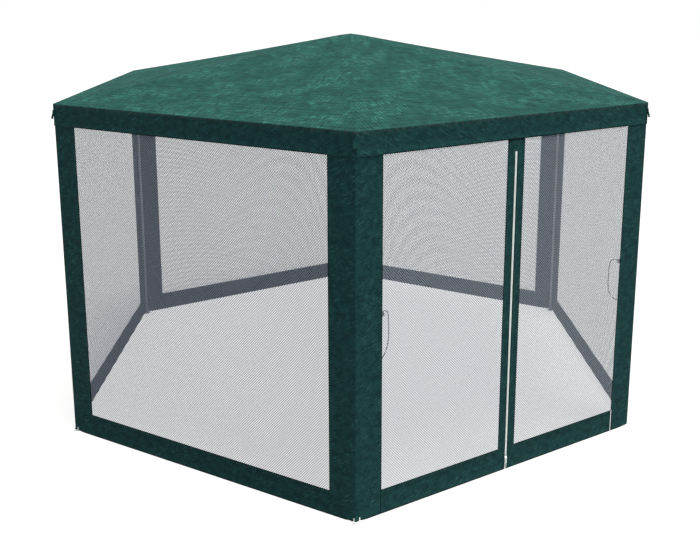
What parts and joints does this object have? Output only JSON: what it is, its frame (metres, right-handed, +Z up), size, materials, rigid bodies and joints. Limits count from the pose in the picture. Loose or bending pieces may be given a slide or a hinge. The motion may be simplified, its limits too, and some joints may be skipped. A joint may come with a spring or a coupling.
{
  "type": "screen house",
  "caption": "Hexagonal garden screen house: push-fit tube frame, sloping roof cover with valance, net walls with solid borders, and a net door that unzips up its middle.",
  "frame": {"origin": "on the ground, under the middle of the roof", "axes": "+Z up; the front corner points along -Y and the door is in the wall to the right of it, seen from the front, facing (0.5, -0.866, 0)"},
  "size_m": [3.4836, 4.015, 2.4],
  "materials": {
    "coated_steel": "blue-grey powder-coated round steel tube, satin",
    "pale_plastic": "moulded pale grey plastic",
    "roof_sheeting": "woven and coated polyethylene sheeting, mid green, crinkled, with a soft shine",
    "border_sheeting": "the same woven polyethylene sheeting, dark green, slightly mottled",
    "mosquito_net": "fine pale grey polyester net that can be seen through",
    "zip_tape": "white woven zip tape with a white nylon coil",
    "zip_plastic": "white moulded plastic",
    "tie_cord": "grey-blue braided cord"
  },
  "bodies": {
    "frame_and_walls": {"apex_hub": "pale_plastic", "corner_connector_back": "pale_plastic", "corner_connector_back_left": "pale_plastic", "corner_connector_back_right": "pale_plastic", "corner_connector_front": "pale_plastic", "corner_connector_front_left": "pale_plastic", "corner_connector_front_right": "pale_plastic", "door_border": "border_sheeting", "door_hem_left": "border_sheeting", "door_hem_right": "border_sheeting", "door_net_left": "mosquito_net", "door_net_right": "mosquito_net", "eave_rail_back_left": "coated_steel", "eave_rail_back_right": "coated_steel", "eave_rail_front_left": "coated_steel", "eave_rail_front_right": "coated_steel", "eave_rail_left": "coated_steel", "eave_rail_right": "coated_steel", "foot_back": "pale_plastic", "foot_back_left": "pale_plastic", "foot_back_right": "pale_plastic", "foot_front": "pale_plastic", "foot_front_left": "pale_plastic", "foot_front_right": "pale_plastic", "post_back": "coated_steel", "post_back_left": "coated_steel", "post_back_right": "coated_steel", "post_front": "coated_steel", "post_front_left": "coated_steel", "post_front_right": "coated_steel", "rafter_back": "coated_steel", "rafter_back_left": "coated_steel", "rafter_back_right": "coated_steel", "rafter_front": "coated_steel", "rafter_front_left": "coated_steel", "rafter_front_right": "coated_steel", "roof_cover": "roof_sheeting", "tie_back_left": "tie_cord", "tie_back_right": "tie_cord", "wall_border_back_left": "border_sheeting", "wall_border_back_right": "border_sheeting", "wall_border_front_left": "border_sheeting", "wall_border_left": "border_sheeting", "wall_border_right": "border_sheeting", "wall_net_back_left": "mosquito_net", "wall_net_back_right": "mosquito_net", "wall_net_front_left": "mosquito_net", "wall_net_left": "mosquito_net", "wall_net_right": "mosquito_net"},
    "door_flap_left": {"flap_edge_left": "border_sheeting", "flap_net_left": "mosquito_net", "zip_half_left": "zip_tape"},
    "door_flap_right": {"flap_edge_right": "border_sheeting", "flap_net_right": "mosquito_net", "zip_half_right": "zip_tape"},
    "zip_slider": {"zip_slider": "zip_plastic"},
    "zip_pull": {"zip_pull": "zip_plastic"}
  },
  "joints": [
    {"name": "flap_left_fold", "type": "hinge", "parent": "frame_and_walls", "child": "door_flap_left", "pos_m": [0.43201, -1.74827, 0.006], "axis": [0.221, 0.1276, 0.9669], "range_deg": [0, 160]},
    {"name": "flap_right_fold", "type": "hinge", "parent": "frame_and_walls", "child": "door_flap_right", "pos_m": [1.29804, -1.24827, 0.006], "axis": [0.2211, 0.1276, -0.9669], "range_deg": [0, 160]},
    {"name": "zip_slide", "type": "slide", "parent": "door_flap_left", "child": "zip_slider", "axis": [0, 0, 1], "range_m": [0, 1.76]},
    {"name": "pull_swing", "type": "hinge", "parent": "zip_slider", "child": "zip_pull", "pos_m": [0.86892, -1.50502, 0.0735], "axis": [-0.866, -0.5, 0], "range_deg": [0, 170]}
  ]
}
